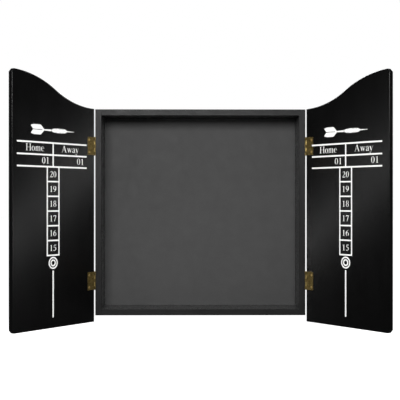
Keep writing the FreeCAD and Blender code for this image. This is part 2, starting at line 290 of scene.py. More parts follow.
    def finish(self, colour, roughness, metallic=0.0, specular=0.5, coat=0.0, coat_rough=0.1, ior=1.5):
        s = self.bsdf.inputs
        self.put(s["Base Color"], colour)
        self.put(s["Roughness"], roughness)
        self.put(s["Metallic"], metallic)
        s["Specular IOR Level"].default_value = specular
        s["IOR"].default_value = ior
        if coat:
            s["Coat Weight"].default_value = coat
            s["Coat Roughness"].default_value = coat_rough
        if self.normal is not None:
            self.put(s["Normal"], self.normal)
        return self.mat


def grey(v):
    return (v, v, v, 1.0)


def tint(v, r=1.0, g=1.0, b=1.0):
    return (v * r, v * g, v * b, 1.0)


# ================================================================ materials
def painted_board(name, along, level=0.0056, inside=0.047, seed=0.0):
    """Black satin paint brushed thinly over a board: the grain still reads through it as fine open pores and soft
    bands.
    along is the axis of the grain. The faces inside the box carry the panel's drier charcoal coat, set lighter than on
    the panel; that extra lightness is a painted reflection of the panel seen at a grazing angle."""
    m = Mat(name)
    base = m.place(shift=(seed, seed * 1.7, seed * 0.6))
    k = {"x": (1, 0, 0), "z": (0, 0, 1)}[along]
    across, length = 1.0, 0.035

    def stretch(s):
        return tuple(s * (length if k[i] else across) for i in range(3))

    bands = m.noise(m.scaled(base, stretch(95.0)), 1.0, 4.0, 0.55, 0.25)
    fine = m.noise(m.scaled(base, stretch(620.0)), 1.0, 3.0, 0.6, 0.1)
    pores_raw = m.noise(m.scaled(base, stretch(1500.0), (3.1, 1.2, 0.4)), 1.0, 2.0, 0.5)
    pores = m.spread(pores_raw, 0.60, 0.72)
    brush = m.noise(m.scaled(base, stretch(2600.0), (0.4, 2.2, 5.1)), 1.0, 2.0, 0.5)
    cloud = m.noise(base, 9.0, 3.0, 0.5)
    grain = m.maths("ADD", m.maths("MULTIPLY", bands, 0.6), m.maths("MULTIPLY", fine, 0.4))
    shade = m.spread(grain, 0.32, 0.68, 0.62, 1.42)
    shade = m.maths("MULTIPLY", shade, m.spread(cloud, 0.3, 0.7, 0.88, 1.12))
    shade = m.maths("MULTIPLY", shade, m.spread(pores, 0.0, 1.0, 1.0, 0.55))
    xyz = m.node("ShaderNodeSeparateXYZ")
    tc = m.node("ShaderNodeTexCoord")
    m.put(xyz.inputs[0], tc.outputs["Object"])
    ix = m.spread(m.maths("ABSOLUTE", xyz.outputs["X"]), INNER_X + 0.0004, INNER_X + 0.0001)
    iz = m.spread(m.maths("ABSOLUTE", xyz.outputs["Z"]), INNER_Z + 0.0004, INNER_Z + 0.0001)
    iy = m.spread(xyz.outputs["Y"], FRONT_Y + 0.0008, FRONT_Y + 0.0016)
    inner = m.maths("MULTIPLY", m.maths("MULTIPLY", ix, iz), iy)
    soft = m.spread(shade, 0.4, 1.6, 0.85, 1.15)
    # inner faces: charcoal coat, its colour lifted above the panel's own as a painted reflection of the panel at
    # grazing view
    colour = m.mix(inner, m.mix(1.0, tint(level, 1.0, 1.0, 1.02), shade, "MULTIPLY"),
                   m.mix(1.0, tint(inside), soft, "MULTIPLY"))
    worn = m.edge(0.0009)
    rub = m.spread(m.noise(base, 60.0, 4.0, 0.6), 0.42, 0.66)
    colour = m.mix(m.maths("MULTIPLY", worn, m.spread(rub, 0.0, 1.0, 0.25, 0.8)), colour, tint(level * 2.6, 1.0, 0.99, 0.97))
    rough = m.spread(m.noise(base, 26.0, 4.0, 0.55), 0.3, 0.7, 0.40, 0.48)
    rough = m.maths("ADD", rough, m.spread(fine, 0.35, 0.65, -0.04, 0.04))
    rough = m.maths("ADD", rough, m.maths("MULTIPLY", inner, -0.17))
    m.bump(bands, 0.00010, 0.8)
    m.bump(fine, 0.00005, 0.7)
    m.bump(m.maths("SUBTRACT", 1.0, pores), 0.00006, 0.8)
    m.bump(brush, 0.00001, 0.6)
    return m.finish(colour, rough, specular=0.13)


def panel_paint():
    """Matte charcoal coat sprayed on fibreboard: a dry, fine, slightly felted surface."""
    m = Mat("charcoal_panel_paint")
    base = m.place()
    fibre_a = m.noise(m.scaled(base, (900.0, 900.0, 260.0)), 1.0, 3.0, 0.6, 0.3)
    fibre_b = m.noise(m.scaled(base, (240.0, 900.0, 900.0), (2.0, 1.0, 0.3)), 1.0, 3.0, 0.6, 0.3)
    felt = m.maths("MULTIPLY", m.maths("ADD", fibre_a, fibre_b), 0.5)
    cloud = m.noise(base, 7.0, 3.0, 0.5)
    speck = m.spread(m.cells(base, 300.0), 0.05, 0.14, 1.0, 0.0)
    speck = m.maths("MULTIPLY", speck, m.spread(m.cell_colour(base, 300.0), 0.93, 0.96))
    shade = m.maths("MULTIPLY", m.spread(felt, 0.38, 0.62, 0.93, 1.07), m.spread(cloud, 0.3, 0.7, 0.96, 1.04))
    colour = m.mix(1.0, tint(0.0395, 1.0, 1.0, 1.0), shade, "MULTIPLY")
    colour = m.mix(m.maths("MULTIPLY", speck, 0.25), colour, grey(0.075))
    rough = m.spread(m.noise(base, 40.0, 4.0, 0.6), 0.3, 0.7, 0.72, 0.84)
    m.bump(felt, 0.00006, 0.7)
    m.bump(m.noise(base, 1700.0, 2.0, 0.5), 0.000012, 0.6)
    return m.finish(colour, rough, specular=0.3)


def door_lacquer(side):
    """Black satin lacquer on smooth board: orange peel, faint wiping marks, a few dust nibs, thin paint on the arrises."""
    m = Mat(side + "_door_lacquer")
    sign = 1.0 if side == "left" else -1.0
    base = m.place(turn=(0.0, 0.0, sign * OPEN), shift=(0.3 * sign, 0.2, 0.1))
    peel = m.noise(m.scaled(base, (430.0, 430.0, 430.0)), 1.0, 2.0, 0.45)
    peel_big = m.noise(base, 95.0, 2.0, 0.4)
    wipe = m.noise(m.scaled(base, (34.0, 34.0, 9.0)), 1.0, 4.0, 0.6, 0.6)
    smudge = m.noise(base, 16.0, 4.0, 0.6, 0.8)
    hair = m.noise(m.scaled(base, (1500.0, 1500.0, 20.0), (1.0, 2.0, 3.0)), 1.0, 2.0, 0.5)
    hair = m.spread(hair, 0.70, 0.78)
    nib = m.spread(m.cells(base, 55.0), 0.010, 0.022, 1.0, 0.0)
    worn = m.edge(0.0012)
    rub = m.spread(m.noise(base, 75.0, 4.0, 0.6), 0.40, 0.68)
    colour = m.mix(1.0, tint(0.0014, 1.0, 1.0, 1.03), m.spread(smudge, 0.3, 0.7, 0.85, 1.2), "MULTIPLY")
    colour = m.mix(m.maths("MULTIPLY", worn, m.spread(rub, 0.0, 1.0, 0.1, 0.75)), colour, tint(0.007, 1.0, 0.97, 0.93))
    rough = m.spread(wipe, 0.3, 0.7, 0.19, 0.22)
    rough = m.maths("ADD", rough, m.spread(smudge, 0.42, 0.75, 0.0, 0.02))
    rough = m.maths("ADD", rough, m.maths("MULTIPLY", hair, 0.10))
    m.bump(peel, 0.000016, 0.9)
    m.bump(peel_big, 0.000008, 0.7)
    m.bump(nib, 0.00004, 0.8)
    return m.finish(colour, rough, specular=0.2)


def ink():
    """White screen print: opaque, dry, with the faint mesh texture and thinner spots that a screen leaves."""
    m = Mat("white_screen_ink")
    base = m.place()
    mesh_tex = m.noise(base, 2600.0, 1.0, 0.5)
    cover = m.noise(base, 420.0, 3.0, 0.6)
    cloud = m.noise(base, 30.0, 3.0, 0.5)
    shade = m.maths("MULTIPLY", m.spread(cover, 0.3, 0.7, 0.95, 1.0), m.spread(cloud, 0.3, 0.7, 0.97, 1.0))
    colour = m.mix(1.0, tint(0.90, 1.0, 1.0, 0.985), shade, "MULTIPLY")
    rough = m.spread(cover, 0.3, 0.7, 0.42, 0.56)
    m.bump(cover, 0.000012, 0.7)
    m.bump(mesh_tex, 0.000005, 0.6)
    return m.finish(colour, rough, specular=0.4)


def brass(name="aged_brass", along="z", clean=1.0):
    """Lacquered brass strip: fine brushing, olive-brown tarnish where the lacquer has gone, bright rubbed edges. The
    third argument scales the whole brass colour; the copies lightened above 1 carry painted highlights.
    """
    m = Mat(name)
    base = m.place()
    s = (5200.0, 5200.0, 160.0) if along == "z" else (5200.0, 5200.0, 5200.0)
    lines = m.noise(m.scaled(base, s), 1.0, 3.0, 0.6)
    tarnish = m.noise(base, 170.0, 5.0, 0.62, 0.7)
    stain = m.noise(base, 620.0, 4.0, 0.6, 0.4)
    spots = m.spread(m.cells(base, 900.0), 0.10, 0.22, 1.0, 0.0)
    spots = m.maths("MULTIPLY", spots, m.spread(m.cell_colour(base, 900.0), 0.80, 0.86))
    old = m.spread(m.maths("ADD", m.maths("MULTIPLY", tarnish, 0.7), m.maths("MULTIPLY", stain, 0.3)), 0.36, 0.64, smooth=True)
    fresh, dull = (0.36, 0.262, 0.095), (0.13, 0.094, 0.030)
    # whole colour scaled by the third argument: lightened above 1, which is a painted highlight
    colour = m.mix(old, (*(min(0.9, v * clean) for v in fresh), 1.0), (*(min(0.9, v * clean) for v in dull), 1.0))
    colour = m.mix(m.maths("MULTIPLY", spots, 0.6), colour, (0.09, 0.065, 0.03, 1.0))
    worn = m.edge(0.0004, samples=4)
    colour = m.mix(m.maths("MULTIPLY", worn, 0.75), colour, (0.86, 0.70, 0.40, 1.0))
    rough = m.spread(lines, 0.3, 0.7, 0.26, 0.40)
    rough = m.maths("ADD", rough, m.maths("MULTIPLY", old, 0.16))
    m.bump(lines, 0.000006, 0.7)
    m.bump(stain, 0.000012, 0.6)
    return m.finish(colour, rough, metallic=m.spread(spots, 0.0, 1.0, 1.0, 0.55), specular=0.5)


def zinc():
    """Bright zinc plate on steel: faint spangle, dull blooms."""
    m = Mat("zinc_plate")
    base = m.place()
    spangle = m.cell_colour(base, 420.0)
    bloom = m.noise(base, 210.0, 4.0, 0.6, 0.5)
    fine = m.noise(base, 2400.0, 3.0, 0.6)
    colour = m.mix(m.spread(bloom, 0.35, 0.7), (0.60, 0.62, 0.645, 1.0), (0.43, 0.44, 0.455, 1.0))
    colour = m.mix(m.maths("MULTIPLY", spangle, 0.25), colour, (0.70, 0.715, 0.73, 1.0))
    rough = m.spread(m.maths("ADD", m.maths("MULTIPLY", spangle, 0.4), m.maths("MULTIPLY", bloom, 0.6)), 0.25, 0.75, 0.27, 0.46)
    m.bump(fine, 0.000008, 0.6)
    return m.finish(colour, rough, metallic=1.0)


def stained_rail():
    """Softwood stained black: open straight grain, dry and uneven."""
    m = Mat("black_stained_softwood")
    base = m.place(shift=(0.7, 0.1, 0.2))
    rings = m.noise(m.scaled(base, (2.6, 85.0, 85.0)), 1.0, 4.0, 0.55, 0.35)
    late = m.spread(rings, 0.47, 0.60, smooth=True)
    fine = m.noise(m.scaled(base, (28.0, 900.0, 900.0)), 1.0, 3.0, 0.6)
    fur = m.noise(m.scaled(base, (160.0, 3200.0, 3200.0)), 1.0, 2.0, 0.5)
    colour = m.mix(late, tint(0.050, 1.05, 1.0, 0.94), tint(0.022, 1.05, 1.0, 0.96))
    colour = m.mix(m.spread(fine, 0.5, 0.75, 0.0, 0.5), colour, tint(0.014))
    worn = m.edge(0.0008)
    colour = m.mix(m.maths("MULTIPLY", worn, 0.5), colour, tint(0.10, 1.15, 1.0, 0.8))
    rough = m.spread(fine, 0.3, 0.7, 0.62, 0.78)
    m.bump(late, 0.00008, 0.7)
    m.bump(fine, 0.00006, 0.8)
    m.bump(fur, 0.00002, 0.6)
    return m.finish(colour, rough, specular=0.35)


def beech():
    """Bare fluted dowel: pale pink-brown beech with short dark flecks."""
    m = Mat("bare_beech")
    base = m.place()
    grain = m.noise(m.scaled(base, (60.0, 900.0, 900.0)), 1.0, 3.0, 0.6)
    fleck = m.spread(m.noise(m.scaled(base, (400.0, 3000.0, 3000.0)), 1.0, 1.0, 0.5), 0.62, 0.70)
    colour = m.mix(m.spread(grain, 0.3, 0.7), (0.60, 0.42, 0.27, 1.0), (0.44, 0.29, 0.17, 1.0))
    colour = m.mix(m.maths("MULTIPLY", fleck, 0.6), colour, (0.24, 0.13, 0.07, 1.0))
    m.bump(grain, 0.00005, 0.8)
    return m.finish(colour, m.spread(grain, 0.3, 0.7, 0.55, 0.68), specular=0.35)


MATERIALS = {
    "left_side_board": painted_board("black_board_left", "z", seed=0.11),
    "right_side_board": painted_board("black_board_right", "z", seed=0.47),
    "top_board": painted_board("black_board_top", "x", seed=0.83),
    "bottom_board": painted_board("black_board_bottom", "x", seed=1.29),
    "back_panel": panel_paint(),
    "left_door_panel": door_lacquer("left"),
    "right_door_panel": door_lacquer("right"),
}
BRASS, ZINC, RAIL, BEECH, INK = brass(clean=0.72), zinc(), stained_rail(), beech(), ink()
# brighter brass copies for the cabinet leaves, pins and screw heads: painted highlights for the glints on knuckles and
# screw heads
KNUCKLE_BRASS = brass("brass_knuckles_painted_highlight", "z", 1.7)
SCREW_BRASS = brass("brass_screws_painted_highlight", "x", 2.3)


def material_for(name):
    if name in MATERIALS:
        return MATERIALS[name]
    if name.endswith("dowels"):
        return BEECH
    if "keyhole_hanger" in name or name == "rail_screws":
        return ZINC
    if name.endswith("_rail") or name.endswith("_block"):
        return RAIL
    # screw heads, cabinet leaves and pins take the lightened brass copies: painted highlights
    if name.endswith("leaf_screws"):
        return SCREW_BRASS
    if name.endswith("_cabinet_leaf") or name.endswith("_pin"):
        return KNUCKLE_BRASS
    return BRASS


for name, ob in nodes.items():
    ob.data.materials.clear()
    ob.data.materials.append(material_for(name))


# ================================================================ drawing in the plane: signed distances and outlines
class Pen:
    """Signed distance field on a grid, in millimetres. Negative inside. Shapes are added and cut in turn."""

    def __init__(self, x0, y0, x1, y1, step):
        self.step = step
        self.xs = np.arange(x0, x1 + step, step)
        self.ys = np.arange(y0, y1 + step, step)
        self.X, self.Y = np.meshgrid(self.xs, self.ys)
        self.d = np.full(self.X.shape, 1e3)

    def add(self, d):
        self.d = np.minimum(self.d, d)

    def cut(self, d):
        self.d = np.maximum(self.d, -d)

    def box(self, x0, y0, x1, y1):
        dx = np.maximum(x0 - self.X, self.X - x1)
        dy = np.maximum(y0 - self.Y, self.Y - y1)
        return np.hypot(np.maximum(dx, 0), np.maximum(dy, 0)) + np.minimum(np.maximum(dx, dy), 0)

    def ellipse(self, cx, cy, rx, ry):
        px, py = self.X - cx, self.Y - cy
        k1 = np.hypot(px / rx, py / ry)
        k2 = np.maximum(np.hypot(px / rx ** 2, py / ry ** 2), 1e-9)
        return k1 * (k1 - 1.0) / k2

    def poly(self, pts):
        pts = np.array(pts, float)
        best = np.full(self.X.shape, 1e9)
        inside = np.zeros(self.X.shape, bool)
        for (ax, ay), (bx, by) in zip(pts, np.roll(pts, -1, 0)):
            ex, ey = bx - ax, by - ay
            wx, wy = self.X - ax, self.Y - ay
            t = np.clip((wx * ex + wy * ey) / max(ex * ex + ey * ey, 1e-12), 0, 1)
            best = np.minimum(best, np.hypot(wx - ex * t, wy - ey * t))
            if ey != 0:
                cross = (ay > self.Y) != (by > self.Y)
                inside ^= cross & (self.X < ex * (self.Y - ay) / ey + ax)
        return np.where(inside, -best, best)

    def stroke(self, pts, radii, n=14):
        """Smooth path through the points, swelling from radius to radius."""
        p = np.array([(x, y, r) for (x, y), r in zip(pts, radii)], float)
        path = []
        for i in range(len(p) - 1):
            a, b = p[i], p[i + 1]
            before = p[i - 1] if i > 0 else 2 * a - b
            after = p[i + 2] if i + 2 < len(p) else 2 * b - a
            for t in np.linspace(0, 1, n, endpoint=False):
                path.append(0.5 * (2 * a + (b - before) * t + (2 * before - 5 * a + 4 * b - after) * t ** 2
                                   + (3 * a - before - 3 * b + after) * t ** 3))
        path.append(p[-1])
        best = np.full(self.X.shape, 1e9)
        for (ax, ay, ar), (bx, by, br) in zip(path[:-1], path[1:]):
            ex, ey = bx - ax, by - ay
            t = np.clip(((self.X - ax) * ex + (self.Y - ay) * ey) / max(ex * ex + ey * ey, 1e-12), 0, 1)
            best = np.minimum(best, np.hypot(self.X - ax - ex * t, self.Y - ay - ey * t) - (ar + (br - ar) * t))
        return best

    def outlines(self, tolerance):
        """Closed outlines of the inside, in order round each, the inside on the left."""
        d, xs, ys = self.d, self.xs, self.ys
        d = np.where(d == 0, 1e-9, d)
        inside = d < 0
        assert not (inside[0].any() or inside[-1].any() or inside[:, 0].any() or inside[:, -1].any()), "print runs off its grid"
        rows, cols = np.nonzero(inside[:-1, :-1] ^ inside[1:, 1:] | inside[:-1, :-1] ^ inside[1:, :-1]
                                | inside[:-1, :-1] ^ inside[:-1, 1:])

        def crossing(a, b):
            (i, j), (k, l) = sorted((a, b))
            t = d[i, j] / (d[i, j] - d[k, l])
            return (i, j, k, l), (xs[j] + (xs[l] - xs[j]) * t, ys[i] + (ys[k] - ys[i]) * t)

        nxt, where = {}, {}
        for i, j in zip(rows, cols):
            c = [(i, j), (i, j + 1), (i + 1, j + 1), (i + 1, j)]
            s = [inside[p] for p in c]
            ins, outs = [], []
            for q in range(4):
                if s[q] and not s[(q + 1) % 4]:
                    key, p = crossing(c[q], c[(q + 1) % 4])
                    where[key] = p
                    outs.append((q, key))
                elif not s[q] and s[(q + 1) % 4]:
                    key, p = crossing(c[q], c[(q + 1) % 4])
                    where[key] = p
                    ins.append((q, key))
            for q, key in outs:
                follow = min(ins, key=lambda e: (e[0] - q) % 4)
                nxt[key] = follow[1]
        loops = []
        while nxt:
            start, at = next(iter(nxt.items()))
            loop = [start]
            del nxt[start]
            while at != start:
                loop.append(at)
                at = nxt.pop(at)
            loops.append(np.array([where[k] for k in loop]))
        return [thin_out(l, tolerance) for l in loops if len(l) > 8]


def thin_out(loop, tol):
    """Ramer-Douglas-Peucker on a closed loop."""
    def keep(pts, lo, hi, mask):
        stack = [(lo, hi)]
        while stack:
            a, b = stack.pop()
            if b - a < 2:
                continue
            e = pts[b] - pts[a]
            seg = pts[a + 1:b] - pts[a]
            n = np.hypot(*e)
            dist = np.abs(e[0] * seg[:, 1] - e[1] * seg[:, 0]) / n if n > 1e-12 else np.hypot(seg[:, 0], seg[:, 1])
            k = int(dist.argmax())
            if dist[k] > tol:
                mask[a + 1 + k] = True
                stack += [(a, a + 1 + k), (a + 1 + k, b)]
    far = int(np.hypot(*(loop - loop[0]).T).argmax())
    pts = np.vstack([loop, loop[:1]])
    mask = np.zeros(len(pts), bool)
    mask[[0, far, len(pts) - 1]] = True
    keep(pts, 0, far, mask)
    keep(pts, far, len(pts) - 1, mask)
    return pts[:-1][mask[:-1]]


# ---------------------------------------------------------------- a plain roman alphabet, cap height 1
def serif(p, x0, x1, y, up, stem=None, h=0.042, k=0.085):
    """Flat serif from x0 to x1 at y, growing up or down, bracketed to the stem."""
    a, b = (y, y + h) if up else (y - h, y)
    p.add(p.box(x0, a, x1, b))
    if stem:
        s0, s1 = stem
        top = b + k if up else a - k
        edge_y = b if up else a
        for s, e in ((s0, x0), (s1, x1)):
            if abs(e - s) < 0.02:
                continue
            m = s + (e - s) * 0.16
            f = s + (e - s) * 0.80
            p.add(p.poly([(s, top), (m, edge_y + (top - edge_y) * 0.30), (s + (e - s) * 0.4, edge_y + (top - edge_y) * 0.08),
                          (f, edge_y), (f, (a + b) / 2), (s, (a + b) / 2)]))


def glyph_H(p):
    for a, b, l, r in ((0.14, 0.285, 0.01, 0.415), (0.765, 0.91, 0.635, 1.04)):
        p.add(p.box(a, 0, b, 1))
        serif(p, l, r, 0, True, (a, b))
        serif(p, l, r, 1, False, (a, b))
    p.add(p.box(0.2, 0.475, 0.85, 0.53))
    return 1.05


def glyph_A(p):
    p.add(p.poly([(0.135, 0.02), (0.20, 0.02), (0.475, 0.80), (0.50, 1.015), (0.46, 0.985)]))
    p.add(p.poly([(0.735, 0.02), (0.905, 0.02), (0.545, 1.015), (0.50, 1.015), (0.45, 0.90)]))
    p.add(p.box(0.255, 0.335, 0.70, 0.39))
    serif(p, 0.01, 0.31, 0, True)
    serif(p, 0.62, 1.02, 0, True, (0.74, 0.90), k=0.04)
    return 1.02


def glyph_o(p):
    p.add(p.ellipse(0.335, 0.335, 0.305, 0.35))
    p.cut(p.ellipse(0.335, 0.335, 0.160, 0.305))
    return 0.67


def glyph_m(p):
    p.add(p.box(0.12, 0, 0.25, 0.60))
    p.add(p.poly([(0.02, 0.585), (0.25, 0.685), (0.25, 0.50), (0.12, 0.50), (0.12, 0.575), (0.03, 0.56)]))
    serif(p, 0.01, 0.36, 0, True, (0.12, 0.25), k=0.06)
    for x in (0.25, 0.62):
        p.add(p.stroke([(x - 0.02, 0.49), (x + 0.07, 0.595), (x + 0.165, 0.635), (x + 0.245, 0.585), (x + 0.27, 0.46)],
                       [0.022, 0.036, 0.050, 0.062, 0.065]))
        p.add(p.box(x + 0.205, 0, x + 0.335, 0.47))
        serif(p, x + 0.105, x + 0.44, 0, True, (x + 0.205, x + 0.335), k=0.06)
    return 1.08


def glyph_e(p):
    p.add(p.ellipse(0.325, 0.335, 0.295, 0.35))
    p.cut(p.ellipse(0.345, 0.345, 0.170, 0.295))
    p.cut(p.poly([(0.33, 0.365), (0.72, 0.365), (0.72, 0.17), (0.585, 0.155), (0.47, 0.085), (0.36, 0.22)]))
    p.add(p.box(0.12, 0.365, 0.605, 0.415))
    return 0.62


def glyph_w(p):
    for x in (0.0, 0.315):
        p.add(p.poly([(x + 0.07, 0.64), (x + 0.225, 0.64), (x + 0.395, 0.17), (x + 0.335, -0.015), (x + 0.30, -0.015)]))
    p.add(p.poly([(0.335, -0.015), (0.31, -0.015), (0.34, 0.13), (0.46, 0.47), (0.50, 0.42)]))
    p.add(p.poly([(0.65, -0.015), (0.615, -0.015), (0.655, 0.13), (0.83, 0.64), (0.89, 0.64)]))
    serif(p, -0.01, 0.30, 0.66, False)
    serif(p, 0.315, 0.60, 0.66, False)
    serif(p, 0.74, 0.98, 0.66, False)
    return 0.97


def glyph_a(p):
    p.add(p.stroke([(0.125, 0.515), (0.17, 0.62), (0.285, 0.66), (0.40, 0.615), (0.435, 0.48)],
                   [0.055, 0.035, 0.030, 0.048, 0.063]))
    p.add(p.box(0.372, 0.10, 0.498, 0.50))
    p.add(p.stroke([(0.435, 0.12), (0.47, 0.045), (0.54, 0.03), (0.605, 0.085)], [0.063, 0.042, 0.030, 0.020]))
    p.add(p.stroke([(0.42, 0.405), (0.27, 0.35), (0.135, 0.265), (0.105, 0.145), (0.18, 0.05), (0.30, 0.065), (0.42, 0.15)],
                   [0.022, 0.026, 0.048, 0.066, 0.052, 0.034, 0.024]))
    p.add(p.ellipse(0.130, 0.515, 0.063, 0.063))
    return 0.60


def glyph_y(p):
    p.add(p.poly([(0.065, 0.64), (0.225, 0.64), (0.41, 0.13), (0.345, -0.02), (0.31, -0.02)]))
    p.add(p.poly([(0.575, 0.64), (0.52, 0.64), (0.33, 0.06), (0.265, -0.13), (0.315, -0.14)]))
    p.add(p.stroke([(0.29, -0.12), (0.235, -0.235), (0.13, -0.25)], [0.026, 0.034, 0.045]))
    p.add(p.ellipse(0.115, -0.235, 0.062, 0.058))
    serif(p, -0.01, 0.305, 0.66, False)
    serif(p, 0.42, 0.66, 0.66, False)
    return 0.65


def glyph_0(p):
    p.add(p.ellipse(0.32, 0.5, 0.275, 0.515))
    p.cut(p.ellipse(0.32, 0.5, 0.140, 0.468))
    return 0.64


def glyph_1(p):
    p.add(p.box(0.27, 0, 0.405, 0.94))
    p.add(p.poly([(0.105, 0.86), (0.375, 1.01), (0.405, 1.01), (0.405, 0.80), (0.27, 0.80), (0.27, 0.875), (0.118, 0.825)]))
    serif(p, 0.115, 0.56, 0, True, (0.27, 0.405), k=0.05)
    return 0.64


def glyph_2(p):
    p.add(p.stroke([(0.085, 0.735), (0.145, 0.885), (0.295, 0.960), (0.445, 0.895), (0.485, 0.735), (0.425, 0.55),
                    (0.265, 0.32), (0.085, 0.10)],
                   [0.026, 0.032, 0.040, 0.062, 0.073, 0.062, 0.040, 0.032]))
    p.add(p.poly([(0.045, 0.0), (0.545, 0.0), (0.605, 0.225), (0.565, 0.225), (0.505, 0.122), (0.13, 0.122), (0.045, 0.07)]))
    return 0.64


def glyph_5(p):
    p.add(p.poly([(0.185, 0.865), (0.50, 0.865), (0.560, 0.995), (0.195, 0.995)]))
    p.add(p.poly([(0.185, 0.99), (0.225, 0.88), (0.150, 0.545), (0.098, 0.560)]))
    p.add(p.stroke([(0.130, 0.560), (0.285, 0.600), (0.43, 0.515), (0.485, 0.335), (0.42, 0.135), (0.26, 0.035), (0.105, 0.065)],
                   [0.024, 0.046, 0.066, 0.072, 0.060, 0.038, 0.040]))
    p.add(p.ellipse(0.098, 0.088, 0.060, 0.060))
    return 0.64


def glyph_6(p):
    p.add(p.ellipse(0.325, 0.325, 0.270, 0.340))
    p.cut(p.ellipse(0.335, 0.305, 0.135, 0.285))
    p.add(p.stroke([(0.535, 0.975), (0.37, 0.895), (0.205, 0.715), (0.130, 0.51), (0.120, 0.33)],
                   [0.022, 0.038, 0.058, 0.068, 0.066]))
    return 0.64


def glyph_7(p):
    p.add(p.poly([(0.085, 0.985), (0.575, 0.985), (0.575, 0.94), (0.30, 0.0), (0.195, 0.0), (0.455, 0.865), (0.165, 0.865),
                  (0.085, 0.725), (0.045, 0.735)]))
    return 0.64


def glyph_8(p):
    p.add(p.ellipse(0.32, 0.745, 0.225, 0.268))
    p.add(p.ellipse(0.32, 0.270, 0.262, 0.285))
    p.cut(p.ellipse(0.325, 0.760, 0.115, 0.210))
    p.cut(p.ellipse(0.318, 0.255, 0.138, 0.228))
    return 0.64


def glyph_9(p):
    p.add(p.ellipse(0.315, 0.675, 0.270, 0.340))
    p.cut(p.ellipse(0.305, 0.695, 0.135, 0.285))
    p.add(p.stroke([(0.105, 0.025), (0.27, 0.105), (0.435, 0.285), (0.510, 0.49), (0.520, 0.67)],
                   [0.022, 0.038, 0.058, 0.068, 0.066]))
    return 0.64


GLYPHS = {k[-1]: v for k, v in globals().items() if k.startswith("glyph_")}
_drawn = {}


def drawn(char):
    """Outlines and advance of one character, cap height 1."""
    if char not in _drawn:
        wide = 1.25
        p = Pen(-0.15, -0.40, wide, 1.15, 0.0075)
        adv = GLYPHS[char](p)
        p.d = p.d + 0.012
        _drawn[char] = (p.outlines(0.0011), adv)
    return _drawn[char]


def text(word, cx, base, height, width, track=0.0):
    """A word, cap height and overall ink width in mm, centred on cx with its baseline at base: list of outlines."""
    loops, x = [], 0.0
    for ch in word:
        found, adv = drawn(ch)
        loops += [l + (x, 0.0) for l in found]
        x += adv + track
    lo = min(l[:, 0].min() for l in loops)
    hi = max(l[:, 0].max() for l in loops)
    sx = width / (hi - lo)
    return [np.column_stack([(l[:, 0] - (lo + hi) / 2) * sx + cx, l[:, 1] * height + base]) for l in loops]


def dart(cx, cz, length):
    """A dart lying level, point to the right."""
    p = Pen(-64.0, -14.0, 64.0, 14.0, 0.11)
    p.add(p.poly([(60.5, 0.0), (58.0, 0.42), (37.0, 1.35), (37.0, -1.35), (58.0, -0.42)]))
    p.add(p.poly([(38.5, 1.9), (35.0, 3.5), (31.5, 4.35), (26.0, 4.7), (10.0, 4.7), (3.0, 4.2), (-1.0, 3.1), (-3.5, 2.3),
                  (-3.5, -2.3), (-1.0, -3.1), (3.0, -4.2), (10.0, -4.7), (26.0, -4.7), (31.5, -4.35), (35.0, -3.5),
                  (38.5, -1.9)]))
    for x in (29.0, 25.6, 22.2, 18.8, 8.6, 5.2):
        p.cut(p.box(x - 0.55, -6.0, x + 0.55, 6.0))
    for x in (29.0, 25.6, 22.2, 18.8, 8.6, 5.2):
        p.add(p.box(x - 0.56, -3.1, x + 0.56, 3.1))
    p.add(p.poly([(-4.3, 1.5), (-9.0, 1.85), (-24.0, 1.35), (-30.0, 1.3), (-30.0, -1.3), (-24.0, -1.35), (-9.0, -1.85),
                  (-4.3, -1.5)]))
    for s in (1, -1):
        p.add(p.poly([(-24.5, s * 1.15), (-33.0, s * 9.4), (-35.6, s * 10.4), (-52.5, s * 10.4), (-60.2, s * 8.6),
                      (-60.6, s * 7.4), (-55.4, s * 0.95), (-54.0, s * 0.62), (-31.0, s * 0.62)]))
    k = length / 121.1
    return [l * k + (cx, cz) for l in p.outlines(0.012)]


